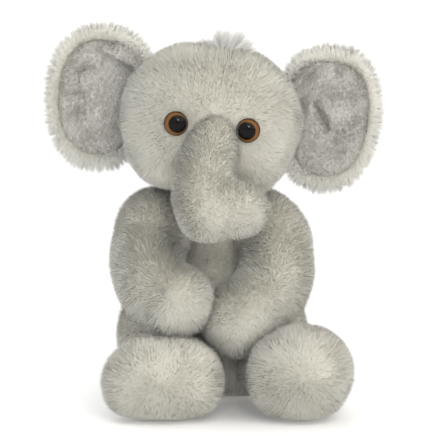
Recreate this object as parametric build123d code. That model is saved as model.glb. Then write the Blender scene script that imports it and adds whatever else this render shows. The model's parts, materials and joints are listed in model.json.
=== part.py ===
from build123d import *
from math import asin, cos, pi, sin, sqrt
import os

os.makedirs("parts", exist_ok=True)

# A seated stuffed elephant, in millimetres. +Z is up, the face looks along -Y,
# and "left" and "right" are the sides of a person looking at the face.
# Every limb ends in a ball that turns in a round pocket of the piece it is sewn to.

# Fabric and fit
SKIN = 2.5  # pile fabric: backing plus flattened pile
SLACK = 0.3  # between a skin and the filling inside it
JOINT_GAP = 0.9  # between a limb's ball and its pocket
CLEAR = 0.8  # between two bodies that lie side by side
HUGE = 600.0

# Torso: wide hips and a narrower chest, each ((x, y, z), radius) at both ends
HIPS = [((-18.5, 14, 47.5), 50.5), ((18.5, 14, 47.5), 50.5)]
CHEST = [((0, 14, 60), 44), ((0, 12, 119), 33)]
TORSO_Y = 14.0
SEAT_SEAM_Z = 12.0

# Weight bag in the seat
BAG_ENDS = [((-14, 14, 23), 13), ((14, 14, 23), 13)]
BAG_WALL = 1.0

# Neck ball
NECK = (0, -2, 157)
NECK_R = 16.0

# Head: a ball drawn out sideways
HEAD_CENTRE = (-1.5, -14, 215)
HEAD_R = 55.5
HEAD_HALF_LENGTH = 11.0
HEAD_TILT = 5.7
GUSSET_HALF = 19.5
CHIN_SEAM_Z = -34.0

# Eyes, given in the head's own frame
EYE_X = (-25.2, 27.4)
EYE_Z = 0.7
EYE_R = 9.1
EYE_DOME_H = 4.6
EYE_STAND_OFF = 0.35
EYE_BASE_H = 1.2
IRIS_H = 0.6
PUPIL_R = 5.9
STEM_R = 2.2
STEM_LENGTH = 16.0
STEM_HOLE_R = 2.6
WASHER_R = 7.5
WASHER_HOLE_R = 2.4
WASHER_DEPTH = 3.6
WASHER_H = 1.2
WASHER_POCKET_R = 8.4

# Hair tuft, in the head's own frame: low and high ends of a leaning wedge
TUFT_LOW = ((8, 0, 56.4), (11, 6))
TUFT_HIGH = ((13, 0, 68.0), (17, 7))

# Ears, in the head's own frame, for the side at +X: circles round the outline
EAR_CIRCLES = [((83, 18), 41.5), ((84, -12), 37.0)]
EAR_LINING_INSET = 7.5
EAR_Y = 25.5
EAR_DISH_R = 180.0
EAR_DISH_MIDDLE = (85, 7)
EAR_BACK_H = 5.0
EAR_LINING_H = 3.0
EAR_LAYER_GAP = 0.25
EAR_HEAD_GAP = 1.6
EAR_ROLL_X = 62.5
EAR_ROLL_R = 4.5
EAR_ROLL_HALF = 22.0

# Trunk: ((x, y, z), radius)
TRUNK_ROOT = ((0, -62, 204), 18)
TRUNK_BEND = ((-7, -92, 168), 20.5)
TRUNK_LOW = ((-3, -97, 157), 20)
TRUNK_END = ((21, -96, 155), 17)
TRUNK_SEAM = (0, -0.8, 0.6)
TRUNK_TIP_SEAM = (0, -1, 0.2)
TRUNK_SETBACK = 9.5
TRUNK_LIFTS = (0, 10, 20)
TRUNK_CURLS = (0, 4, 8, 12, 15)

# Arms: shoulder, middle and hand of a bent tube of one radius
ARM_R = 25.5
ARM_LEFT = ((-37, -8, 133), (-48, -43, 107), (-28, -75, 87.5))
ARM_RIGHT = ((37, -8, 133), (47.5, -42, 101), (19, -60, 69))

# Legs: hip ball, shin tube, and foot as a ball drawn out sideways
LEG_R = 21.0
HIP_LEFT = (-38, -31, 30)
HIP_RIGHT = (40, -30, 31)
FOOT_LEFT = [((-50, -88, 29), 30), ((-26, -88, 29), 30)]
FOOT_RIGHT = [((62.5, -88, 33.5), 34.5), ((67.5, -88, 33.5), 34.5)]
SHIN_END_LEFT = (-38, -80, 30)
SHIN_END_RIGHT = (62, -80, 31)
SOLE_DEPTH = 12.0

# Tail and its end of long hair: ((x, y, z), radius)
TAIL = [((0, 66.5, 46), 5), ((0, 78.5, 28), 4.5)]
TAIL_TUFT = [((0, 80, 20), 6.5), ((0, 81, 12), 5)]


def ball(centre, radius):
    return Pos(*centre) * Sphere(radius)


def capsule(ends, inset=0.0):
    """Two balls and the cone that wraps them, as one turned solid."""
    (a, r_a), (b, r_b) = ends
    r_a, r_b = r_a - inset, r_b - inset
    along = Vector(*b) - Vector(*a)
    lean = (r_a - r_b) / along.length
    level = sqrt(1 - lean**2)
    rise = asin(lean)
    low_mid = (r_a * cos((rise - pi / 2) / 2), r_a * sin((rise - pi / 2) / 2))
    high_mid = (r_b * cos((rise + pi / 2) / 2), along.length + r_b * sin((rise + pi / 2) / 2))
    low = (r_a * level, r_a * lean)
    high = (r_b * level, along.length + r_b * lean)
    with BuildPart() as turned:
        with BuildSketch(Plane.XZ):
            with BuildLine():
                ThreePointArc((0, -r_a), low_mid, low)
                Line(low, high)
                ThreePointArc(high, high_mid, (0, along.length + r_b))
                Line((0, along.length + r_b), (0, -r_a))
            make_face()
        revolve(axis=Axis.Z)
    return Plane(origin=a, z_dir=along) * turned.part


def side_of(shape, point, normal):
    """The part of the shape on the side of the plane that the normal points to."""
    return split(shape, bisect_by=Plane(origin=point, z_dir=normal), keep=Keep.TOP)


def opposite(direction):
    return tuple(-value for value in direction)


def two_panels(shape, point, normal):
    return side_of(shape, point, normal), side_of(shape, point, opposite(normal))


def bent_axis(points):
    """Centre and unit axis of the circle through three points."""
    a, b, c = (Vector(*p) for p in points)
    u, v = b - a, c - a
    axis = u.cross(v)
    to_centre = (axis.cross(u) * v.dot(v) + v.cross(axis) * u.dot(u)) / (2 * axis.dot(axis))
    return a + to_centre, axis.normalized()


def bent_tube(points, radius):
    """A tube of one radius on the arc through three points, with a half ball at each end."""
    centre, axis = bent_axis(points)
    first, last = Vector(*points[0]), Vector(*points[2])
    start, end = first - centre, last - centre
    angle = start.get_angle(end)
    run_start, run_end = axis.cross(start).normalized(), axis.cross(end).normalized()
    ring = Plane(origin=first, x_dir=start, z_dir=run_start) * Circle(radius)
    tube = revolve(ring, axis=Axis(centre, axis), revolution_arc=angle)
    tube = tube + side_of(ball(first, radius), tuple(first), tuple(run_start * -1))
    return tube + side_of(ball(last, radius), tuple(last), tuple(run_end))


def write(name, shape):
    """One file per piece; a piece in several solids is stored as a compound."""
    solids = shape if isinstance(shape, list) else shape.solids()
    body = solids[0] if len(solids) == 1 else Compound(children=list(solids))
    export_step(body, f"parts/{name}.step")


def torso_form(inset=0.0):
    form = capsule(HIPS, inset) + capsule(CHEST, inset)
    return side_of(form, (0, 0, inset), (0, 0, 1))


def leg_form(hip, shin_end, foot, inset=0.0):
    """A shin tube that runs from the hip ball into a rounded foot, flat underneath."""
    form = capsule([(hip, LEG_R), (shin_end, LEG_R)], inset) + capsule(foot, inset)
    return side_of(form, (0, 0, min(inset, 1.5)), (0, 0, 1))


# Torso
torso_skin = torso_form() - torso_form(SKIN)
torso_fill = torso_form(SKIN + SLACK)
pockets = [ball(NECK, NECK_R + JOINT_GAP), ball(TAIL[0][0], TAIL[0][1] + JOINT_GAP)]
for hip in (HIP_LEFT, HIP_RIGHT):
    pockets.append(ball(hip, LEG_R + JOINT_GAP))
for arm in (ARM_LEFT, ARM_RIGHT):
    pockets.append(bent_tube(arm, ARM_R + CLEAR))
for pocket in pockets:
    torso_skin = torso_skin - pocket
    torso_fill = torso_fill - pocket

torso_fill = torso_fill - capsule(BAG_ENDS, -SLACK)
bag_skin = capsule(BAG_ENDS) - capsule(BAG_ENDS, BAG_WALL)
bag_halves = two_panels(bag_skin, BAG_ENDS[0][0], (0, 0, 1))

seat, upper = two_panels(torso_skin, (0, 0, SEAT_SEAM_Z), (0, 0, -1))
belly, back = two_panels(upper, (0, TORSO_Y, 0), (0, -1, 0))
back_left, back_right = two_panels(back, (0, 0, 0), (-1, 0, 0))
write("body_seat_panel", seat)
write("body_belly_panel", belly)
write("body_back_left_panel", back_left)
write("body_back_right_panel", back_right)
write("body_stuffing", torso_fill)
write("pellet_bag", [half.solids()[0] for half in bag_halves])
write("pellet_fill", capsule(BAG_ENDS, BAG_WALL + SLACK))

# Neck
neck_skin = ball(NECK, NECK_R) - ball(NECK, NECK_R - SKIN)
neck_front, neck_back = two_panels(neck_skin, NECK, (0, -1, 0))
write("neck_front_panel", neck_front)
write("neck_back_panel", neck_back)
write("neck_stuffing", ball(NECK, NECK_R - SKIN - SLACK))

# Head
head_frame = Location(HEAD_CENTRE, (0, HEAD_TILT, 0))


def in_head(point):
    return tuple((head_frame * Pos(*point)).position)


def head_direction(direction):
    return tuple(Vector(*in_head(direction)) - Vector(*in_head((0, 0, 0))))


def head_form(inset=0.0):
    ends = [((x, 0, 0), HEAD_R) for x in (-HEAD_HALF_LENGTH, HEAD_HALF_LENGTH)]
    return head_frame * capsule(ends, inset)


def eye_frame(x):
    """A plane on the head's surface at an eye, facing outwards."""
    out = x - HEAD_HALF_LENGTH if x > 0 else x + HEAD_HALF_LENGTH
    y = -sqrt(HEAD_R**2 - out**2 - EYE_Z**2)
    return Plane(origin=in_head((x, y, EYE_Z)), z_dir=head_direction((out, y, EYE_Z)))


def upright(radius, low, high):
    """A cylinder along Z between two heights."""
    return Pos(0, 0, (low + high) / 2) * Cylinder(radius, high - low)


def ear_roll(side, radius, half):
    return Pos(side * EAR_ROLL_X, EAR_Y, 0) * Cylinder(radius, 2 * half)


head_skin = head_form() - head_form(SKIN)
head_fill = head_form(SKIN + SLACK)
head_pockets = [
    ball(NECK, NECK_R + JOINT_GAP),
    ball(TRUNK_ROOT[0], TRUNK_ROOT[1] + JOINT_GAP),
]
for side in (-1, 1):
    head_pockets.append(head_frame * ear_roll(side, EAR_ROLL_R + CLEAR, EAR_ROLL_HALF + CLEAR))
for x in EYE_X:
    head_pockets.append(eye_frame(x) * upright(STEM_HOLE_R, -STEM_LENGTH - 1, 1))
for pocket in head_pockets:
    head_skin = head_skin - pocket
    head_fill = head_fill - pocket
for x in EYE_X:
    washer_pocket = upright(WASHER_POCKET_R, -WASHER_DEPTH - WASHER_H - SLACK, 0)
    head_fill = head_fill - eye_frame(x) * washer_pocket

across = head_direction((1, 0, 0))
upward = head_direction((0, 0, 1))
chin, face = two_panels(head_skin, in_head((0, 0, CHIN_SEAM_Z)), opposite(upward))
head_right, rest = two_panels(face, in_head((GUSSET_HALF, 0, 0)), across)
head_left, gusset = two_panels(rest, in_head((-GUSSET_HALF, 0, 0)), opposite(across))
write("head_chin_panel", chin)
write("head_right_panel", head_right)
write("head_left_panel", head_left)
write("head_gusset", gusset)
write("head_stuffing", head_fill)

tuft_sections = []
for point, half_sizes in (TUFT_LOW, TUFT_HIGH):
    tuft_sections.append(head_frame * Pos(*point) * Ellipse(*half_sizes))
write("hair_tuft", loft(tuft_sections, ruled=True))

# Eyes: black base with its stem, coloured ring, clear dome, and a washer inside
washers = []
for name, x in zip(("left", "right"), EYE_X):
    frame = eye_frame(x)
    base_top = EYE_STAND_OFF + EYE_BASE_H
    ring_top = base_top + IRIS_H
    base = upright(EYE_R, EYE_STAND_OFF, base_top)
    base = base + upright(PUPIL_R, base_top, ring_top)
    base = base + upright(STEM_R, -STEM_LENGTH, EYE_STAND_OFF)
    ring = upright(EYE_R, base_top, ring_top) - upright(PUPIL_R + 0.1, base_top, ring_top)
    dome_r = (EYE_R**2 + EYE_DOME_H**2) / (2 * EYE_DOME_H)
    dome = side_of(ball((0, 0, ring_top + EYE_DOME_H - dome_r), dome_r), (0, 0, ring_top), (0, 0, 1))
    washer_low = -WASHER_DEPTH - WASHER_H
    washer = upright(WASHER_R, washer_low, -WASHER_DEPTH)
    washer = washer - upright(WASHER_HOLE_R, washer_low, -WASHER_DEPTH)
    write(f"eye_{name}_base", frame * base)
    write(f"eye_{name}_iris", frame * ring)
    write(f"eye_{name}_dome", frame * dome)
    washers.append((frame * washer).solids()[0])
write("eye_washers", washers)


# Ears
def ear_layer(side, inset, inner_r, thickness):
    """A layer of a large sphere, cut to the ear's outline, so that the ear is dished."""
    x, z = EAR_DISH_MIDDLE
    centre = (side * x, EAR_Y - EAR_BACK_H / 2 - EAR_DISH_R, z)
    layer = ball(centre, inner_r + thickness) - ball(centre, inner_r)
    rims = []
    for (u, w), radius in EAR_CIRCLES:
        rims.extend((Pos(side * u, w) * Circle(radius - inset)).edges())
    prism = extrude(Plane.XZ * make_hull(rims), amount=80, both=True)
    return layer & prism


for name, side in (("left", -1), ("right", 1)):
    head_gap = head_frame.inverse() * head_form(-EAR_HEAD_GAP)
    back_layer = ear_layer(side, 0, EAR_DISH_R, EAR_BACK_H) - head_gap
    back_layer = back_layer + ear_roll(side, EAR_ROLL_R, EAR_ROLL_HALF)
    lining_r = EAR_DISH_R - EAR_LAYER_GAP - EAR_LINING_H
    lining = ear_layer(side, EAR_LINING_INSET, lining_r, EAR_LINING_H)
    lining = lining - head_gap - ear_roll(side, EAR_ROLL_R + SLACK, HUGE)
    write(f"ear_{name}_back", head_frame * back_layer)
    write(f"ear_{name}_lining", head_frame * max(lining.solids(), key=lambda s: s.volume))


# Trunk
def turned_about(point, angles):
    """The move that turns a shape about a point."""
    return Pos(*point) * Rot(*angles) * Pos(*opposite(point))


def trunk_base_form(inset=0.0):
    """The upper trunk, hollowed to clear the face and the trunk's tip wherever the two joints take them."""
    root, root_r = TRUNK_ROOT
    bend, bend_r = TRUNK_BEND
    run = (Vector(*bend) - Vector(*root)).normalized()
    tube = capsule([TRUNK_ROOT, TRUNK_BEND], inset)
    for lift in TRUNK_LIFTS:
        face = turned_about(root, (lift, 0, 0)) * head_form(-CLEAR - inset)
        tube = tube - (face - ball(root, root_r + JOINT_GAP / 2))
    tube = side_of(tube, tuple(Vector(*bend) - run * TRUNK_SETBACK), tuple(run * -1))
    for curl in TRUNK_CURLS:
        tube = tube - turned_about(bend, (0, -curl, 0)) * capsule([TRUNK_LOW, TRUNK_END], -JOINT_GAP)
    return tube - ball(bend, bend_r + JOINT_GAP)


def trunk_tip_form(inset=0.0):
    bend, bend_r = TRUNK_BEND
    return ball(bend, bend_r - inset) + capsule([TRUNK_LOW, TRUNK_END], inset)


trunk_skin = trunk_base_form() - capsule([TRUNK_ROOT, TRUNK_BEND], SKIN)
trunk_top, trunk_under = two_panels(trunk_skin, (-3.5, -77, 186), TRUNK_SEAM)
tip_skin = trunk_tip_form() - trunk_tip_form(SKIN)
tip_top, tip_under = two_panels(tip_skin, TRUNK_LOW[0], TRUNK_TIP_SEAM)
write("trunk_top_panel", trunk_top)
write("trunk_under_panel", trunk_under)
write("trunk_stuffing", trunk_base_form(SKIN + SLACK))
write("trunk_tip_top_panel", tip_top)
write("trunk_tip_under_panel", tip_under)
write("trunk_tip_stuffing", trunk_tip_form(SKIN + SLACK))

# Arms
for name, points in (("left", ARM_LEFT), ("right", ARM_RIGHT)):
    arm_skin = bent_tube(points, ARM_R) - bent_tube(points, ARM_R - SKIN)
    centre, axis = bent_axis(points)
    front = axis if axis.Y - axis.Z < 0 else axis * -1
    outer, inner = two_panels(arm_skin, tuple(centre), tuple(front))
    write(f"arm_{name}_front_panel", outer)
    write(f"arm_{name}_back_panel", inner)
    write(f"arm_{name}_stuffing", bent_tube(points, ARM_R - SKIN - SLACK))

# Legs
legs = (
    ("left", HIP_LEFT, SHIN_END_LEFT, FOOT_LEFT),
    ("right", HIP_RIGHT, SHIN_END_RIGHT, FOOT_RIGHT),
)
for name, hip, shin_end, foot in legs:
    centre = foot[0][0]
    leg_skin = leg_form(hip, shin_end, foot) - leg_form(hip, shin_end, foot, SKIN)
    sole, rest = two_panels(leg_skin, (0, centre[1] - SOLE_DEPTH, 0), (0, -1, 0))
    upper, lower = two_panels(rest, centre, (0, 0, 1))
    write(f"foot_{name}_sole", sole)
    write(f"leg_{name}_upper_panel", upper)
    write(f"leg_{name}_lower_panel", lower)
    write(f"leg_{name}_stuffing", leg_form(hip, shin_end, foot, SKIN + SLACK))

# Tail
write("tail_cover", capsule(TAIL) - capsule(TAIL_TUFT, -SLACK))
write("tail_tuft", capsule(TAIL_TUFT))
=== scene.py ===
import json
import math

import bpy
import numpy as np
from mathutils import Matrix, Vector


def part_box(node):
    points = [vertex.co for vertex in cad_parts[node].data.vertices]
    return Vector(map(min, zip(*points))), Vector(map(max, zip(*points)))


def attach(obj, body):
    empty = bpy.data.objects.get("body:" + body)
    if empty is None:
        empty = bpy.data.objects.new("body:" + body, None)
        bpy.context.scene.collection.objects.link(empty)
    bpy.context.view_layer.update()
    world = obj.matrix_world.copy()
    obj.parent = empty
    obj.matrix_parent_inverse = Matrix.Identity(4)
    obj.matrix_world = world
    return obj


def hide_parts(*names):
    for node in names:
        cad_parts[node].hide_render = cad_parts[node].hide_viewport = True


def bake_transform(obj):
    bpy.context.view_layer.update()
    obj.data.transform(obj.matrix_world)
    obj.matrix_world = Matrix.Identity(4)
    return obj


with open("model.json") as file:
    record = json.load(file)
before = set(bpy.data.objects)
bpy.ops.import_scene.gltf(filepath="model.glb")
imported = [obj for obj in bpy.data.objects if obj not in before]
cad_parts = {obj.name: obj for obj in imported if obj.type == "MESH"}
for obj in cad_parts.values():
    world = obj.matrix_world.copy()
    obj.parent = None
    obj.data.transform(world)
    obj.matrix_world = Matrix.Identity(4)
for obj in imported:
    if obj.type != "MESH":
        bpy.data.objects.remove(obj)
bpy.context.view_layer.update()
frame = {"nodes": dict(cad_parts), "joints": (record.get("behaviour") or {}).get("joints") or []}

MM = 0.001
TAU = 2 * math.pi
SIDES = {"left": -1, "right": 1}  # as seen in the photo
JOINTS = {joint["name"]: joint for joint in frame["joints"]}


# ---------------------------------------------------------------- places
def pivot(joint):
    return np.array(JOINTS[joint]["pos_m"], float)


def span(*nodes):
    """Lowest and highest corner of several CAD nodes together."""
    boxes = [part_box(node) for node in nodes]
    low = np.min([np.array(b[0]) for b in boxes], axis=0)
    high = np.max([np.array(b[1]) for b in boxes], axis=0)
    return low, high


def middle(*nodes):
    low, high = span(*nodes)
    return (low + high) / 2


def unit(v):
    v = np.asarray(v, float)
    return v / np.maximum(np.linalg.norm(v, axis=-1, keepdims=True), 1e-9)


def mm(x, y, z):
    """A step given in millimetres."""
    return np.array((x, y, z)) * MM


def clamp(value):
    """The value, held between 0 and 1."""
    return min(1.0, max(0.0, value))


HEAD_NODES = ("head_left_panel", "head_right_panel", "head_gusset", "head_chin_panel")
head_low, head_high = span(*HEAD_NODES)
head_centre = (head_low + head_high) / 2
head_up = unit(JOINTS["ear_left_flap"]["axis"])
head_right = np.cross((0, 1, 0), head_up)
HEAD_AXES = np.array([head_right, (0, 1, 0), head_up]).T


def on_head(x, y, z):
    """A point in the head's own frame, in millimetres from its centre."""
    return head_centre + HEAD_AXES @ (np.array((x, y, z), float) * MM)


# ---------------------------------------------------------------- materials
SHEEN_ROUGHNESS = 0.45
NOISE_DETAIL = 4.0
NOISE_DARK, NOISE_LIGHT = 0.32, 0.68  # the noise is wholly dark below the one and light above the other
BUMP_DISTANCE = 0.001


def node_material(name, rough=0.9, sheen=0.0, colour=(0.5, 0.5, 0.5)):
    material = bpy.data.materials.new(name)
    material.use_nodes = True
    shader = material.node_tree.nodes["Principled BSDF"]
    shader.inputs["Base Color"].default_value = (*colour, 1)
    shader.inputs["Roughness"].default_value = rough
    shader.inputs["Sheen Weight"].default_value = sheen
    shader.inputs["Sheen Roughness"].default_value = SHEEN_ROUGHNESS
    return material, shader


def mottled(name, dark, light, scale, bump, rough=0.9, sheen=0.0):
    """A material whose colour and relief follow a noise in object space."""
    material, shader = node_material(name, rough, sheen)
    tree = material.node_tree
    place = tree.nodes.new("ShaderNodeTexCoord")
    noise = tree.nodes.new("ShaderNodeTexNoise")
    noise.inputs["Scale"].default_value = scale
    noise.inputs["Detail"].default_value = NOISE_DETAIL
    ramp = tree.nodes.new("ShaderNodeValToRGB")
    ramp.color_ramp.elements[0].position = NOISE_DARK
    ramp.color_ramp.elements[0].color = (*dark, 1)
    ramp.color_ramp.elements[1].position = NOISE_LIGHT
    ramp.color_ramp.elements[1].color = (*light, 1)
    tree.links.new(place.outputs["Object"], noise.inputs["Vector"])
    tree.links.new(noise.outputs["Fac"], ramp.inputs["Fac"])
    tree.links.new(ramp.outputs["Color"], shader.inputs["Base Color"])
    relief_node = tree.nodes.new("ShaderNodeBump")
    relief_node.inputs["Strength"].default_value = bump
    relief_node.inputs["Distance"].default_value = BUMP_DISTANCE
    tree.links.new(noise.outputs["Fac"], relief_node.inputs["Height"])
    tree.links.new(relief_node.outputs["Normal"], shader.inputs["Normal"])
    return material


def tinted(prefix, rough, sheen, tints):
    """One plain material for each tint."""
    return [node_material(f"{prefix}_{i}", rough, sheen, tint)[0] for i, tint in enumerate(tints)]


FUR_TINTS = ((0.72, 0.70, 0.625), (0.78, 0.762, 0.685), (0.84, 0.822, 0.745), (0.90, 0.885, 0.81))
RIM_TINTS = ((0.82, 0.81, 0.75), (0.88, 0.87, 0.81), (0.94, 0.93, 0.88))
HAIR_TINTS = ((0.70, 0.69, 0.65), (0.84, 0.83, 0.80), (0.95, 0.95, 0.93))
NAP_TINTS = ((0.30, 0.285, 0.255), (0.44, 0.425, 0.385), (0.60, 0.585, 0.54), (0.84, 0.825, 0.77))
fur_materials = tinted("pile", 0.8, 0.35, FUR_TINTS)
rim_materials = tinted("rim", 0.8, 0.35, RIM_TINTS)
hair_materials = tinted("hair", 0.6, 0.4, HAIR_TINTS)
nap_materials = tinted("nap", 0.4, 0.6, NAP_TINTS)
backing = mottled("pile_backing", (0.56, 0.54, 0.48), (0.68, 0.66, 0.59), scale=220, bump=0.5)
velvet = mottled("ear_velvet_cloth", (0.33, 0.32, 0.30), (0.50, 0.485, 0.46), scale=130, bump=0.6,
                 rough=0.5, sheen=0.6)
bag_cloth = mottled("bag_weave", (0.74, 0.73, 0.69), (0.86, 0.85, 0.81), scale=600, bump=0.4)
washer_plastic = mottled("washer_plastic_moulded", (0.84, 0.84, 0.82), (0.92, 0.92, 0.90), scale=90, bump=0.1,
                         rough=0.5)
eye_black = mottled("eye_black_moulded", (0.012, 0.010, 0.009), (0.02, 0.017, 0.014), scale=300, bump=0.02,
                    rough=0.15)


# ---------------------------------------------------------------- meshes
def new_object(name, points, faces, materials=()):
    mesh = bpy.data.meshes.new(name)
    mesh.from_pydata([tuple(p) for p in points], [], faces)
    mesh.update()
    piece = bpy.data.objects.new(name, mesh)
    bpy.context.scene.collection.objects.link(piece)
    for material in materials:
        mesh.materials.append(material)
    for polygon in mesh.polygons:
        polygon.use_smooth = True
    return piece


def shell_faces(rows, sides):
    """Faces of a closed shell: a first point, rows of points round it, and a last point."""
    faces = []
    last = 1 + rows * sides
    for j in range(sides):
        k = (j + 1) % sides
        faces.append((0, 1 + j, 1 + k))
        for i in range(rows - 1):
            row = 1 + i * sides
            faces.append((row + j, row + sides + j, row + sides + k, row + k))
        row = 1 + (rows - 1) * sides
        faces.append((row + k, row + j, last))
    return faces


def egg(centre, semi, axes=np.eye(3), rings=24, sides=36):
    """Points and faces of a closed ellipsoid, with half axes in millimetres."""
    semi = np.array(semi, float) * MM
    points = [centre + axes @ (semi * (0, 0, 1))]
    for i in range(1, rings):
        polar = math.pi * i / rings
        across = math.sin(polar)
        for j in range(sides):
            turn = TAU * j / sides
            on_ball = (across * math.cos(turn), across * math.sin(turn), math.cos(polar))
            points.append(centre + axes @ (semi * on_ball))
    points.append(centre + axes @ (semi * (0, 0, -1)))
    return points, shell_faces(rings - 1, sides)


def bead(centre, radius):
    return egg(centre, [radius] * 3, rings=14, sides=22)


BEADS_PER_STRETCH = 10


def bead_chain(stops):
    """Overlapping balls along a line of (point, radius in mm), for the remesher to melt into a tube."""
    parts = []
    for (a, ra), (b, rb) in zip(stops[:-1], stops[1:]):
        for i in range(BEADS_PER_STRETCH):
            t = i / BEADS_PER_STRETCH
            parts.append(bead(a + (b - a) * t, ra + (rb - ra) * t))
    parts.append(bead(*stops[-1]))
    return parts


def apply_modifiers(piece):
    graph = bpy.context.evaluated_depsgraph_get()
    done = bpy.data.meshes.new_from_object(piece.evaluated_get(graph))
    old = piece.data
    piece.modifiers.clear()
    piece.data = done
    bpy.data.meshes.remove(old)


def melt(name, parts, voxel, smooth):
    """Joins closed parts into one skin of backing cloth, without seams, and rounds off where they meet."""
    points, faces = [], []
    for part_points, part_faces in parts:
        start = len(points)
        points.extend(part_points)
        faces.extend(tuple(i + start for i in face) for face in part_faces)
    piece = new_object(name, points, faces, [backing])
    remesh = piece.modifiers.new("Remesh", "REMESH")
    remesh.mode = "VOXEL"
    remesh.voxel_size = voxel * MM
    relax = piece.modifiers.new("Smooth", "SMOOTH")
    relax.factor = 0.5
    relax.iterations = smooth
    apply_modifiers(piece)
    for polygon in piece.data.polygons:
        polygon.use_smooth = True
    return piece


def triples(items, field):
    """A vector field of a mesh's vertices or normals, one row each."""
    flat = np.empty(len(items) * 3, np.float32)
    items.foreach_get(field, flat)
    return flat.reshape(-1, 3).astype(float)


def coords(mesh):
    return triples(mesh.vertices, "co")


def vertex_normals(mesh):
    return triples(mesh.vertex_normals, "vector")


def set_coords(mesh, points):
    mesh.vertices.foreach_set("co", np.asarray(points, np.float32).ravel())
    mesh.update()


# ---------------------------------------------------------------- pile
WAVE_COUNT = 7
WAVE_SLOWING = 0.55  # brings the mean wave near the length asked for
WAVE_SPREAD = 1.9  # brings the spread of the sum near 1
HASH_TURNS = np.array([[127.1, 269.5, 419.2], [311.7, 183.3, 371.9], [74.7, 246.1, 53.3]])
HASH_SCALE = 43758.5453


def waves(points, wavelength, seed):
    """A smooth vector field in space, made of a few plane waves (wavelength in mm)."""
    rng = np.random.default_rng(seed)
    total = np.zeros_like(points)
    for _ in range(WAVE_COUNT):
        turn = rng.normal(size=(3, 3)) * TAU / (wavelength * MM) * WAVE_SLOWING
        total += np.sin(points @ turn + rng.uniform(0, TAU, 3))
    return total / WAVE_SPREAD


def clump_pull(points, cell, seed):
    """For each point, the way to the nearest of a cloud of scattered clump centres, in cells."""
    cell = cell * MM
    base = np.floor(points / cell)
    best = np.full(len(points), np.inf)
    pull = np.zeros_like(points)
    for offset in np.ndindex(3, 3, 3):
        corner = base + np.array(offset) - 1
        dots = corner @ HASH_TURNS
        jitter = np.abs(np.modf(np.sin(dots + seed) * HASH_SCALE)[0])
        away = (corner + jitter) * cell - points
        distance = (away**2).sum(1)
        nearer = distance < best
        best[nearer] = distance[nearer]
        pull[nearer] = away[nearer]
    return pull / cell


def scatter(mesh, count, rng):
    """Random points on a mesh with the smooth normal at each."""
    mesh.calc_loop_triangles()
    corners = np.empty(len(mesh.loop_triangles) * 3, np.int32)
    mesh.loop_triangles.foreach_get("vertices", corners)
    corners = corners.reshape(-1, 3)
    points, normals = coords(mesh), vertex_normals(mesh)
    a, b, c = (points[corners[:, i]] for i in range(3))
    area = np.linalg.norm(np.cross(b - a, c - a), axis=1)
    pick = rng.choice(len(corners), count, p=area / area.sum())
    u, v = rng.random(count), rng.random(count)
    flip = u + v > 1
    u[flip], v[flip] = 1 - u[flip], 1 - v[flip]
    weights = np.stack([1 - u - v, u, v], 1)[:, :, None]
    where = (points[corners[pick]] * weights).sum(1)
    facing = unit((normals[corners[pick]] * weights).sum(1))
    return where, facing


def surface_area(mesh):
    """In square millimetres."""
    return sum(polygon.area for polygon in mesh.polygons) / MM**2


DOWNWARDS = (0.0, -0.15, -1.0)  # the way strands lie where there is no comb, a little to the front
COMB_PULL = 0.5
LOCK_PULL = 0.12
STRAY_PULL = 0.2
LOCK_WAVE, LENGTH_WAVE, TONE_WAVE = 34, 20, 26
RAGGED = 0.24
ROOT_DEPTH = 0.5


def pile(name, skin, density, length, width=0.25, lean=0.55, comb=None, keep=None, materials=fur_materials,
         cell=2.3, clump=0.27, seed=1, reach=None, painted_light_lift=0.0):
    """Strands on a skin: thin blades that lean with the comb and towards the middle of their clump."""
    rng = np.random.default_rng(seed)
    count = min(int(surface_area(skin.data) * density), MOST_STRANDS)
    root, facing = scatter(skin.data, count, rng)
    if keep is not None:
        stays = keep(root, facing)
        root, facing = root[stays], facing[stays]
    count = len(root)
    drift = comb(root) if comb else np.tile(DOWNWARDS, (count, 1))
    locks = waves(root, LOCK_WAVE, seed + 1)
    way = drift * COMB_PULL + locks * LOCK_PULL + clump_pull(root, cell, seed) * clump
    way += rng.normal(size=(count, 3)) * STRAY_PULL
    way -= facing * (way * facing).sum(1, keepdims=True)
    long = length * MM * (1 - RAGGED + 2 * RAGGED * rng.random((count, 1)))
    long *= 1 + 0.08 * waves(root, LENGTH_WAVE, seed + 2)[:, :1]
    if reach is not None:
        long *= reach(root)[:, None]
    run = unit(facing + way * lean)
    root = root - facing * ROOT_DEPTH * MM
    flat = facing - run * (facing * run).sum(1, keepdims=True) + rng.normal(size=(count, 3)) * 0.2
    across = unit(np.cross(run, flat)) * (width * MM / 2) * (0.7 + 0.6 * rng.random((count, 1)))
    corners = np.stack([root - across, root + across, root + run * long], 1)
    soft = unit(facing * 0.9 + unit(flat) * 0.15 + rng.normal(size=(count, 3)) * 0.12)
    tone = 0.5 + 0.1 * waves(root, TONE_WAVE, seed + 3)[:, 0] + rng.normal(size=count) * 0.28
    # painted light: a piece's pile can be lifted in tone to stand in for light that a shadow on it takes away
    tone += painted_light_lift
    tint = np.clip((tone * len(materials)).astype(int), 0, len(materials) - 1)
    return strand_mesh(name, corners, soft, tint, materials)


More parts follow.
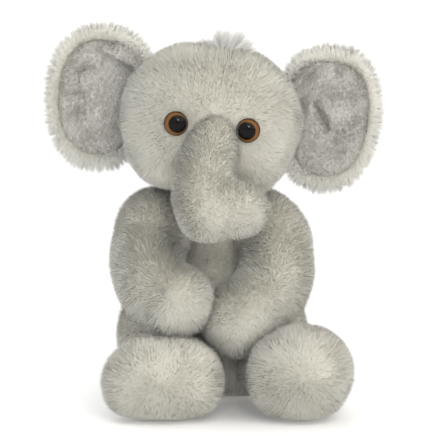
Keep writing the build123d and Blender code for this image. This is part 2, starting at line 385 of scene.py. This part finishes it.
def strand_mesh(name, corners, soft, tint, materials):
    """One triangle per strand, shaded with the normal of the pile instead of its own."""
    count = len(corners)
    mesh = bpy.data.meshes.new(name)
    mesh.vertices.add(count * 3)
    mesh.vertices.foreach_set("co", corners.astype(np.float32).ravel())
    mesh.loops.add(count * 3)
    mesh.loops.foreach_set("vertex_index", np.arange(count * 3, dtype=np.int32))
    mesh.polygons.add(count)
    mesh.polygons.foreach_set("loop_start", np.arange(0, count * 3, 3, dtype=np.int32))
    mesh.polygons.foreach_set("material_index", tint.astype(np.int32))
    for material in materials:
        mesh.materials.append(material)
    mesh.update(calc_edges=True)
    mesh.polygons.foreach_set("use_smooth", np.ones(count, bool))
    mesh.normals_split_custom_set_from_vertices(np.repeat(soft, 3, 0).astype(np.float32))
    piece = bpy.data.objects.new(name, mesh)
    bpy.context.scene.collection.objects.link(piece)
    return piece


SKIN_DEPTH = 0.8


def outside(points, skin):
    """True for the points that don't lie more than SKIN_DEPTH millimetres inside a skin."""
    keep = np.ones(len(points), bool)
    low = np.array(skin.bound_box).min(0)
    high = np.array(skin.bound_box).max(0)
    near = np.flatnonzero(((points > low) & (points < high)).all(1))
    for i in near:
        found, place, normal, _ = skin.closest_point_on_mesh(Vector(points[i]))
        if found and (Vector(points[i]) - place).dot(normal) < -SKIN_DEPTH * MM:
            keep[i] = False
    return keep


DENSITY = 5.0  # strands per square millimetre
# a piece with more faces than 200,000 is thinned out on export
MOST_STRANDS = 195_000  # MOST_STRANDS = 195_000 # the most strands in one piece

# ---------------------------------------------------------------- head
head_half = (head_high - head_low) / 2 / MM
head_ball = head_half[1]
head_stretch = head_half[0] - head_ball
HEAD_INSET = 1.8  # mm, makes room for the pile
HEAD_EGG = (head_ball - HEAD_INSET, head_ball - HEAD_INSET, head_ball - 2.6)
CHEEK_AT = (26, -12, -20)
CHEEK_EGG = (33, 36, 31)
head_parts = []
for i in range(7):
    head_parts.append(egg(on_head(head_stretch * (i / 3 - 1), 0, -0.5), HEAD_EGG, HEAD_AXES))
for sign in SIDES.values():
    head_parts.append(egg(on_head(sign * CHEEK_AT[0], *CHEEK_AT[1:]), CHEEK_EGG, HEAD_AXES))
head_skin = melt("head_skin", head_parts, voxel=2.8, smooth=14)
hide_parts(*HEAD_NODES, "head_stuffing")
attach(head_skin, "head")

# ---------------------------------------------------------------- trunk
trunk_root = pivot("trunk_lift")
trunk_bend = pivot("trunk_curl")
tip_low, tip_high = span("trunk_tip_stuffing")
trunk_end = np.array((tip_high[0] - 14.5 * MM, trunk_bend[1] - 4 * MM, tip_low[2] + 18 * MM))
trunk_elbow = np.array((trunk_bend[0] + 5 * MM, trunk_bend[1] - 5 * MM, tip_low[2] + 17.5 * MM))
trunk_stops = [
    (trunk_root + mm(2, 2, 4), 17.0),
    (trunk_root + mm(0, -2, -3), 18.6),
    (trunk_root * 0.5 + trunk_bend * 0.5, 20.6),
    (trunk_bend + mm(0.5, 0, 0), 21.2),
    (trunk_elbow + mm(-1, 0, 0), 21.6),
    (trunk_end, 18.2),
]
trunk_skin = melt("trunk_skin", bead_chain(trunk_stops), voxel=2.2, smooth=12)
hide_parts("trunk_top_panel", "trunk_under_panel", "trunk_stuffing",
            "trunk_tip_top_panel", "trunk_tip_under_panel", "trunk_tip_stuffing")


# ---------------------------------------------------------------- head's pile
EYES = {side: middle(f"eye_{side}_dome") for side in SIDES}
EYE_CLEARING = 9.3
FACE_MIDDLE = on_head(2, -50, 12)
DIMPLE = on_head(20, -50, -37)
DIMPLE_SIZE = 6


def clear_of_eyes(points, facing):
    stays = outside(points, trunk_skin)
    for eye in EYES.values():
        stays &= np.linalg.norm(points - eye, axis=1) > EYE_CLEARING * MM
    return stays


def from_face(points):
    """The pile lies down and outwards from the middle of the face."""
    away = points - FACE_MIDDLE
    return unit(away * (1, 0.4, 1)) * 0.9 + np.array((0, 0, -0.35))


def by_dimple(points):
    """The pile is short at the dimple below the cheek."""
    return np.clip(np.linalg.norm(points - DIMPLE, axis=1) / (DIMPLE_SIZE * MM), 0.35, 1.0)


head_pile = pile("head_pile", head_skin, DENSITY, 5.0, comb=from_face, keep=clear_of_eyes, reach=by_dimple,
                 seed=11)
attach(head_pile, "head")


# ---------------------------------------------------------------- eyes
PUPIL_SHIFT = 1.35  # mm towards the nose
BLACK = (0.004, 0.0035, 0.003)
IRIS_STOPS = (
    (0.0, BLACK),
    (0.66, BLACK),
    (0.695, (0.10, 0.04, 0.012)),
    (0.76, (0.19, 0.085, 0.028)),
    (1.0, (0.12, 0.05, 0.016)),
)
RIM_STOPS = (
    (0.0, (1, 1, 1)),
    (0.83, (1, 1, 1)),
    (0.90, (0.10, 0.08, 0.07)),
    (1.0, (0.05, 0.04, 0.035)),
)
EYE_HEIGHT = 4.9
EYE_SKIRT = 2.2
EYE_SINK = 2.3
EYE_RINGS, EYE_SIDES = 14, 48


def rings_of_colour(tree, place, shift, stops):
    """Colours by the distance from the eye's axis in centimetres, shifted along X and a little streaked."""
    moved = tree.nodes.new("ShaderNodeVectorMath")
    moved.operation = "ADD"
    moved.inputs[1].default_value = (shift * MM, 0, 0)
    flat = tree.nodes.new("ShaderNodeVectorMath")
    flat.operation = "MULTIPLY"
    flat.inputs[1].default_value = (100, 100, 0)
    length = tree.nodes.new("ShaderNodeVectorMath")
    length.operation = "LENGTH"
    streaks = tree.nodes.new("ShaderNodeTexNoise")
    streaks.inputs["Scale"].default_value = 500
    nudge = tree.nodes.new("ShaderNodeMath")
    nudge.operation = "MULTIPLY_ADD"
    nudge.inputs[1].default_value = 0.05
    ramp = tree.nodes.new("ShaderNodeValToRGB")
    marks = ramp.color_ramp.elements
    marks[0].position, marks[0].color = stops[0][0], (*stops[0][1], 1)
    marks[1].position, marks[1].color = stops[-1][0], (*stops[-1][1], 1)
    for position, colour in stops[1:-1]:
        marks.new(position).color = (*colour, 1)
    tree.links.new(place.outputs["Object"], moved.inputs[0])
    tree.links.new(moved.outputs["Vector"], flat.inputs[0])
    tree.links.new(flat.outputs["Vector"], length.inputs[0])
    tree.links.new(place.outputs["Object"], streaks.inputs["Vector"])
    tree.links.new(streaks.outputs["Fac"], nudge.inputs[0])
    tree.links.new(length.outputs["Value"], nudge.inputs[2])
    tree.links.new(nudge.outputs["Value"], ramp.inputs["Fac"])
    return ramp


def eye_material(side, sign):
    """A black pupil and streaked amber ring, set a little to the nose's side, times a dark rim."""
    material, shader = node_material(f"eye_{side}_glass", 0.06)
    shader.inputs["Specular IOR Level"].default_value = 0.13
    tree = material.node_tree
    place = tree.nodes.new("ShaderNodeTexCoord")
    iris = rings_of_colour(tree, place, sign * PUPIL_SHIFT, IRIS_STOPS)
    rim = rings_of_colour(tree, place, 0.0, RIM_STOPS)
    mix = tree.nodes.new("ShaderNodeMix")
    mix.data_type = "RGBA"
    mix.blend_type = "MULTIPLY"
    mix.inputs[0].default_value = 1.0
    tree.links.new(iris.outputs["Color"], mix.inputs[6])
    tree.links.new(rim.outputs["Color"], mix.inputs[7])
    tree.links.new(mix.outputs[2], shader.inputs["Base Color"])
    return material


def eye_cap(side, sign):
    """A domed button in its own frame: its axis is the eye's, out of the head."""
    low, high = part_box(f"eye_{side}_dome")
    centre = EYES[side]
    axis = unit(centre - middle(f"eye_{side}_base"))
    radius = (high.z - low.z) / 2
    height = EYE_HEIGHT * MM
    points = [(0, 0, height)]
    for i in range(1, EYE_RINGS + 1):
        polar = i / EYE_RINGS * math.pi / 2
        across = radius * math.sin(polar)
        for j in range(EYE_SIDES):
            turn = TAU * j / EYE_SIDES
            points.append((across * math.cos(turn), across * math.sin(turn), height * math.cos(polar)))
    for j in range(EYE_SIDES):
        turn = TAU * j / EYE_SIDES
        points.append((radius * math.cos(turn), radius * math.sin(turn), -EYE_SKIRT * MM))
    points.append((0, 0, -EYE_SKIRT * MM))
    faces = shell_faces(EYE_RINGS + 1, EYE_SIDES)
    cap = new_object(f"eye_{side}_cap", points, faces, [eye_material(side, sign)])
    turn = Vector((0, 0, 1)).rotation_difference(Vector(axis)).to_matrix().to_4x4()
    cap.matrix_world = Matrix.Translation(Vector(centre - axis * EYE_SINK * MM)) @ turn
    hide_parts(f"eye_{side}_dome", f"eye_{side}_iris")
    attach(cap, "head")


for side, sign in SIDES.items():
    eye_cap(side, sign)


# ---------------------------------------------------------------- crown hair
TUFT_X = 7
TUFT_SPREAD = (6.5, 4.0)
TUFT_FRONT = np.array((0.1, -0.7, 0.6))  # the way that the hair is lit and seen from
HAIR_HALF_WIDTH = 0.13


def crown_hair():
    rng = np.random.default_rng(5)
    count = 2600
    spread = rng.normal(size=(count, 2)) * TUFT_SPREAD
    level = head_ball - HEAD_INSET - 0.008 * (spread**2).sum(1)
    root = np.array([on_head(TUFT_X + x, y, z) for (x, y), z in zip(spread, level)])
    side = spread[:, :1] / 11
    way = head_up + head_right * (side * 0.9 + 0.35) + np.array((0, 1, 0)) * spread[:, 1:] / 14
    way = unit(way + rng.normal(size=(count, 3)) * 0.14 + clump_pull(root, 5, 3) * 0.75)
    long = (11 + 11 * rng.random((count, 1)) ** 1.5) * MM * (1 - 0.2 * np.abs(side))
    flat = unit(np.cross(way, rng.normal(size=(count, 3))))
    half_blade = flat * HAIR_HALF_WIDTH * MM
    corners = np.stack([root - half_blade, root + half_blade, root + way * long], 1)
    soft = unit(way * 0.3 + TUFT_FRONT)
    turned_away = np.cross(corners[:, 1] - corners[:, 0], corners[:, 2] - corners[:, 0]) @ TUFT_FRONT < 0
    corners[turned_away] = corners[turned_away][:, [1, 0, 2]]
    tint = rng.integers(0, len(hair_materials), count)
    hair = strand_mesh("hair_tuft_strands", corners, soft, tint, hair_materials)
    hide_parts("hair_tuft")
    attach(hair, "head")


crown_hair()


# ---------------------------------------------------------------- ears
EAR_POWER = 2.35  # of the outline's formula; 2 would be an ellipse
EAR_SHRINK = (0.93, 1, 0.955)  # makes room for the pile round the rim
EAR_HOLLOW = 1.5  # where the back lies under the lining, along Y
EAR_BULGE = 4.2
RIM_FROM, RIM_RISE = 0.74, 0.12  # where the rim of pile begins to stand up, and over how much of the ear
EAR_RINGS, EAR_SIDES = 26, 96
LINING_RINGS, LINING_SIDES = 70, 200
LINING_REACH = 0.83
# The strip turned over at the top of each lining lies along w = level + slope * u.
FOLD_LINES = {"left": (0.42, 0.71), "right": (0.86, 1.03)}
# From and to, width and height (below zero for a groove) of each crease; places are parts of the half sizes.
CREASES = {
    "left": (
        ((0.42, 0.12), (0.80, 0.10), 0.10, 1.8),
        ((0.30, 0.02), (0.82, -0.03), 0.07, -2.2),
        ((0.10, 0.42), (0.48, 0.28), 0.09, -2.0),
        ((0.0, 0.52), (0.60, 0.42), 0.10, 1.6),
    ),
    "right": (
        ((-0.35, 0.22), (0.05, -0.18), 0.07, -2.6),
        ((-0.20, 0.26), (0.18, -0.12), 0.10, 1.4),
        ((0.20, -0.28), (0.70, -0.10), 0.11, 1.7),
        ((-0.15, -0.52), (0.45, -0.42), 0.09, -1.8),
    ),
}
# Place, size and depth of each hollow.
HOLLOWS = {
    "left": ((0.35, -0.25, 0.16, 2.0), (0.18, -0.48, 0.15, 1.8)),
    "right": ((0.53, 0.04, 0.15, 2.6), (0.10, 0.72, 0.09, 2.2)),
}


def ear_frame(side):
    """Centre and half sizes of an ear in the head's frame, in millimetres."""
    low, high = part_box(f"ear_{side}_back")
    centre = HEAD_AXES.T @ ((np.array(low) + np.array(high)) / 2 - head_centre) / MM
    half = (np.array(high) - np.array(low)) / 2 / MM
    return centre, half * EAR_SHRINK


def ear_point(sign, centre, half, rho, turn, depth):
    """A point of the ear: rho from its middle to its rim, turn round it, depth along Y."""
    c, s = math.cos(turn), math.sin(turn)
    round_by = (abs(c) ** EAR_POWER + abs(s) ** EAR_POWER) ** (-1 / EAR_POWER)
    u = half[0] * round_by * c * rho
    w = half[2] * round_by * s * rho
    u *= 1.0 + 0.07 * w / half[2]
    dish = -7.0 * (rho**2) * (0.55 + 0.45 * c)
    return on_head(centre[0] + sign * u, centre[1] + dish + depth, centre[2] + w)


def rounded(rho):
    """Full in the middle and nothing at the rim."""
    return math.sqrt(max(0.0, 1 - rho**4))


def step_down(value, width):
    """Falls smoothly from 1 to 0 where the value passes 0."""
    return 1 / (1 + math.exp(value / width))


def edge(turn):
    """How far out the lining reaches: inside the rim of pile, but right to the head's side."""
    inner = clamp((-math.cos(turn) - 0.15) / 0.5)
    return LINING_REACH + 0.15 * inner * inner * (3 - 2 * inner)


def hollow(u, w, at_u, at_w, size, depth):
    return depth * math.exp(-((u - at_u) ** 2 + (w - at_w) ** 2) / size**2)


def crease(u, w, start, end, width, height):
    """A ridge from start to end, or a groove where the height is below zero."""
    (ua, wa), (ub, wb) = start, end
    run = (ub - ua, wb - wa)
    t = clamp(((u - ua) * run[0] + (w - wa) * run[1]) / (run[0] ** 2 + run[1] ** 2))
    away = math.hypot(u - ua - run[0] * t, w - wa - run[1] * t)
    return height * math.exp(-((away / width) ** 2)) * (1 - (2 * t - 1) ** 4)


def relief(side, u, w):
    """Height of the lining in millimetres: a strip turned over at the top near the head, creases, hollows."""
    slope, level = FOLD_LINES[side]
    over = w - (level + slope * u)
    steepness = 0.16 if over > 0 else 0.045
    total = 5.0 * math.exp(-((over / steepness) ** 2)) * step_down(u - 0.12, 0.10)
    total -= 3.0 * math.exp(-(((u + 0.75) / 0.42) ** 2)) * step_down(over, 0.04)
    for numbers in CREASES[side]:
        total += crease(u, w, *numbers)
    total -= sum(hollow(u, w, *numbers) for numbers in HOLLOWS[side])
    total += 0.5 * math.sin(8 * u + 5 * w) * math.sin(9 * w - 4 * u + 1.0)
    return total * 1.25


def ear_shell(name, points, rows, sides, sign, material):
    faces = shell_faces(rows, sides)
    if sign < 0:
        faces = [face[::-1] for face in faces]
    return new_object(name, points, faces, [material])


def ear_back(side, sign, centre, half):
    """The back of the ear, which wraps round the rim and is hollow where the lining lies."""
    rows = []
    for i in range(1, EAR_RINGS + 1):
        rho = i / EAR_RINGS
        rise = clamp((rho - RIM_FROM) / RIM_RISE)
        rows.append((rho, EAR_HOLLOW - (EAR_HOLLOW + EAR_BULGE * rounded(rho)) * rise))
    for i in range(EAR_RINGS - 1, 0, -1):
        rho = i / EAR_RINGS
        rows.append((rho, EAR_BULGE * rounded(rho)))
    points = [ear_point(sign, centre, half, 0, 0, EAR_HOLLOW)]
    for rho, depth in rows:
        for j in range(EAR_SIDES):
            points.append(ear_point(sign, centre, half, rho, TAU * j / EAR_SIDES, depth))
    points.append(ear_point(sign, centre, half, 0, 0, EAR_BULGE))
    return ear_shell(f"ear_{side}_skin", points, len(rows), EAR_SIDES, sign, backing)


def ear_lining(side, sign, centre, half):
    def lining_point(rho, turn):
        reach = rho * edge(turn)
        crown = -5.0 * rounded(rho * LINING_REACH)
        height = relief(side, reach * math.cos(turn), reach * math.sin(turn)) * (1 - rho**10)
        return ear_point(sign, centre, half, reach, turn, crown - height + 0.9 * rho**12)

    points = [lining_point(0, 0)]
    for i in range(1, LINING_RINGS + 1):
        for j in range(LINING_SIDES):
            points.append(lining_point(i / LINING_RINGS, TAU * j / LINING_SIDES))
    points.append(ear_point(sign, centre, half, 0, 0, 1.0))
    return ear_shell(f"ear_{side}_velvet", points, LINING_RINGS, LINING_SIDES, sign, velvet)


def ear(side, sign):
    centre, half = ear_frame(side)
    back = ear_back(side, sign, centre, half)
    lining = ear_lining(side, sign, centre, half)
    middle_point = on_head(*centre)

    def outwards(points):
        away = points - middle_point
        return unit(away * (1, 0.2, 1)) * 1.5

    def off_lining(points, facing):
        local = (points - middle_point) @ HEAD_AXES / MM
        u, w = sign * local[:, 0] / half[0], local[:, 2] / half[2]
        rho = (np.abs(u) ** EAR_POWER + np.abs(w) ** EAR_POWER) ** (1 / EAR_POWER)
        return (facing[:, 1] > -0.1) | ((rho > 0.82) & (u > -0.85))

    def front_only(points, facing):
        return facing[:, 1] < -0.15

    fur = pile(f"ear_{side}_pile", back, DENSITY * 1.1, 8.0, comb=outwards, keep=off_lining, lean=0.75,
               materials=rim_materials, clump=0.5, cell=3.4, seed=41 + sign)
    nap = pile(f"ear_{side}_nap", lining, DENSITY * 1.3, 2.3, width=0.34, keep=front_only, lean=1.2,
               clump=0.7, cell=3.0, materials=nap_materials, seed=51 + sign)
    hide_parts(f"ear_{side}_back")
    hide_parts(f"ear_{side}_lining")
    for piece in (back, lining, fur, nap):
        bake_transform(piece)


for side, sign in SIDES.items():
    ear(side, sign)


# ---------------------------------------------------------------- trunk's pile
trunk_run = unit(trunk_bend - trunk_root)


def down_trunk(points):
    """Along the upper trunk, and then along its tip, below the bend."""
    turn = np.clip((trunk_bend[2] + 4 * MM - points[:, 2:]) / (18 * MM), 0, 1)
    return (trunk_run * (1 - turn) + unit(trunk_end - trunk_elbow) * turn) * 0.7


trunk_pile = pile("trunk_pile", trunk_skin, DENSITY * 1.1, 4.2, comb=down_trunk, seed=61,
                  keep=lambda points, facing: outside(points, head_skin))
for piece in (trunk_skin, trunk_pile):
    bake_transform(piece)

# ---------------------------------------------------------------- body
BODY_NODES = ("body_belly_panel", "body_back_left_panel", "body_back_right_panel", "body_seat_panel")
body_low, body_high = span(*BODY_NODES)
body_centre = (body_low + body_high) / 2
body_half = (body_high - body_low) / 2 / MM
body_foot = np.array((body_centre[0], body_centre[1], body_low[2]))
SEAT_EGG = (body_half[0] - 16.5, body_half[1] - 2, 45)
body_parts = []
for x in (-18, -9, 0, 9, 18):
    body_parts.append(egg(body_foot + mm(x, 0, 46), SEAT_EGG))
body_parts.append(egg(body_foot + mm(0, -2, 82), (56, 45, 50)))
body_parts.append(egg(body_foot + mm(0, -4, 112), (43, 37, 42)))
body_skin = melt("body_skin", body_parts, voxel=3.0, smooth=16)
SEAT_BAND = 4 * MM  # the lowest part of the seat, which is pressed flat
SEAT_SQUASH = 0.35
seat_rest = body_low[2] + 1.2 * MM
body_points = coords(body_skin.data)
level = body_points[:, 2]
pressed = seat_rest + (level - seat_rest) * SEAT_SQUASH
level = np.where(level < seat_rest + SEAT_BAND, pressed, level)
body_points[:, 2] = np.maximum(level, body_low[2] + 0.5 * MM)
set_coords(body_skin.data, body_points)
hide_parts(*BODY_NODES, "body_stuffing")
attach(body_skin, "torso")


def above_floor(points, facing):
    return (points[:, 2] > 3 * MM) | (facing[:, 2] > -0.8)


def near_floor(points):
    """Pile that meets the floor is pressed short."""
    return np.clip((points[:, 2] - 1 * MM) / (9 * MM), 0.12, 1.0)


body_pile = pile("body_pile", body_skin, DENSITY * 0.9, 5.0, keep=above_floor, reach=near_floor, seed=71)
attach(body_pile, "torso")

# ---------------------------------------------------------------- neck
neck_at = pivot("head_nod") + mm(0, -3, -2)
neck_skin = melt("neck_skin", [egg(neck_at, (20, 17, 17))], voxel=3.0, smooth=2)
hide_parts("neck_front_panel", "neck_back_panel", "neck_stuffing")
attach(neck_skin, "neck")
neck_pile = pile("neck_pile", neck_skin, DENSITY * 0.8, 4.5, seed=75,
                 keep=lambda points, facing: np.abs(facing[:, 2]) < 0.95)
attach(neck_pile, "neck")


# ---------------------------------------------------------------- arms
PUFF = 2.0
SOCKET = 14  # mm, round a joint the pile is left out


def cad_part(node):
    mesh = frame["nodes"][node].data
    points = coords(mesh)
    return [tuple(p) for p in points], [tuple(polygon.vertices) for polygon in mesh.polygons]


def puffed(skin, wavelength, seed, change):
    """A skin's points, pushed out by about PUFF millimetres, more or less by a smooth noise."""
    points, facing = coords(skin.data), vertex_normals(skin.data)
    return points + facing * (PUFF + change * waves(points, wavelength, seed)[:, :1]) * MM


def arm(side, sign):
    name = f"arm_{side}"
    shoulder = pivot(f"{name}_raise")
    parts = [cad_part(f"{name}_stuffing")]
    if side == "left":  # in the photo this shoulder is the fuller one
        parts.append(egg(shoulder + mm(-6.5, -9, -3), (25, 25, 27)))
    skin = melt(f"{name}_skin", parts, voxel=2.6, smooth=8)
    set_coords(skin.data, puffed(skin, 60, 81 + sign, 0.9))
    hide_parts(f"{name}_front_panel", f"{name}_back_panel", f"{name}_stuffing")
    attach(skin, name)

    def off_joint(points, facing):
        return np.linalg.norm(points - shoulder, axis=1) > SOCKET * MM

    # painted light: the arms' pile is tinted lighter to stand in for light on arms that lie in the head's
    # shadow
    fur = pile(f"{name}_pile", skin, DENSITY, 5.6, keep=off_joint, seed=91 + sign, painted_light_lift=0.35)
    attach(fur, name)


for side, sign in SIDES.items():
    arm(side, sign)


# ---------------------------------------------------------------- legs
def leg(side, sign):
    name = f"leg_{side}"
    hip = pivot(f"{name}_splay")
    skin = melt(f"{name}_skin", [cad_part(f"{name}_stuffing")], voxel=2.6, smooth=8)
    points = puffed(skin, 50, 85 + sign, 0.8)
    points[:, 2] = np.maximum(points[:, 2], 0.8 * MM)
    set_coords(skin.data, points)
    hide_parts(f"foot_{side}_sole", f"{name}_upper_panel", f"{name}_lower_panel", f"{name}_stuffing")
    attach(skin, name)
    sole = middle(f"foot_{side}_sole")

    def radial(points):
        away = points - sole
        return unit(away * (1, 0.3, 1)) * 1.1

    def keep(points, facing):
        return above_floor(points, facing) & (np.linalg.norm(points - hip, axis=1) > SOCKET * MM)

    fur = pile(f"{name}_pile", skin, DENSITY, 5.6, comb=radial, keep=keep, reach=near_floor, seed=95 + sign)
    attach(fur, name)


for side, sign in SIDES.items():
    leg(side, sign)


# ---------------------------------------------------------------- tail
tail_root = pivot("tail_wag")
tuft_low, tuft_high = span("tail_tuft")
tuft_at = (tuft_low + tuft_high) / 2
tail_skin = melt("tail_skin", bead_chain([(tail_root, 4.0), (tuft_at, 3.4)]), voxel=1.2, smooth=4)
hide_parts("tail_cover")
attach(tail_skin, "tail")
tail_pile = pile("tail_pile", tail_skin, DENSITY, 3.2, seed=101)
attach(tail_pile, "tail")
tuft_core = melt("tail_tuft_core", [egg(tuft_at, (3.4, 3.4, 6))], voxel=1.0, smooth=2)
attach(tuft_core, "tail")


def tuft_near_floor(points):
    return np.clip(points[:, 2] / (14 * MM), 0.4, 1.0)


tuft_hair = pile("tail_tuft_hair", tuft_core, 9.0, 8.0, width=0.26, lean=0.9, clump=0.3,
                 materials=hair_materials, seed=103, reach=tuft_near_floor)
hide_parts("tail_tuft")
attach(tuft_hair, "tail")

# ---------------------------------------------------------------- hidden pieces
INNER = {"pellet_bag": bag_cloth, "pellet_fill": washer_plastic, "eye_washers": washer_plastic,
         "eye_left_base": eye_black, "eye_right_base": eye_black}
for node, material in INNER.items():
    mesh = frame["nodes"][node].data
    mesh.materials.clear()
    mesh.materials.append(material)

# ---------------------------------------------------------------- floor, light and camera
FAR = 40
FLOOR_LEVEL = -0.0006  # just under the toy
floor = new_object("floor", [(-FAR, -FAR, 0), (FAR, -FAR, 0), (FAR, FAR, 0), (-FAR, FAR, 0)], [(0, 1, 2, 3)])
floor.location.z = FLOOR_LEVEL
floor_material, floor_shader = node_material("floor_paper", 0.9, colour=(0.97, 0.97, 0.97))
floor_shader.inputs["Emission Color"].default_value = (1, 1, 1, 1)
floor_shader.inputs["Emission Strength"].default_value = 0.12
floor.data.materials.append(floor_material)

world = bpy.data.worlds.new("studio")
bpy.context.scene.world = world
world.use_nodes = True
world.node_tree.nodes["Background"].inputs["Color"].default_value = (1.0, 1.0, 1.0, 1)
world.node_tree.nodes["Background"].inputs["Strength"].default_value = 0.68


def lamp(name, kind, place, aim, energy, extent, colour=(1, 1, 1)):
    """A lamp that shines from place to aim: extent is a sun's angle in degrees or a panel's side in metres."""
    data = bpy.data.lights.new(name, kind)
    data.energy = energy
    data.color = colour
    if kind == "SUN":
        data.angle = math.radians(extent)
    else:
        data.shape = "SQUARE"
        data.size = extent
    light = bpy.data.objects.new(name, data)
    bpy.context.scene.collection.objects.link(light)
    light.location = place
    light.rotation_euler = (Vector(aim) - Vector(place)).to_track_quat("-Z", "Y").to_euler()


lamp("key", "SUN", (0.55, -1.0, 0.80), (0, 0, 0), 1.35, 60, (1.0, 0.965, 0.88))
lamp("fill", "SUN", (-0.75, -1.0, 0.4), (0, 0, 0), 0.5, 70, (0.93, 0.965, 1.0))
lamp("back", "SUN", (-0.5, 1.0, 0.9), (0, 0, 0), 0.9, 60)
lamp("glint", "AREA", (0.22, -1.5, 0.70), (0, 0, 0.2), 3.4, 0.26)

ELEVATION = math.radians(8.5)
DISTANCE = 5.0
FRAME_WIDTH = 0.330
SENSOR = 36
target = Vector((0.0056, 0, 0.136))
camera_data = bpy.data.cameras.new("camera")
camera_data.sensor_width = SENSOR
camera_data.lens = SENSOR * DISTANCE / FRAME_WIDTH
camera = bpy.data.objects.new("camera", camera_data)
bpy.context.scene.collection.objects.link(camera)
camera.location = target + Vector((0, -math.cos(ELEVATION), math.sin(ELEVATION))) * DISTANCE
camera.rotation_euler = (target - camera.location).to_track_quat("-Z", "Y").to_euler()
bpy.context.scene.camera = camera
bpy.context.scene.view_settings.view_transform = "Standard"
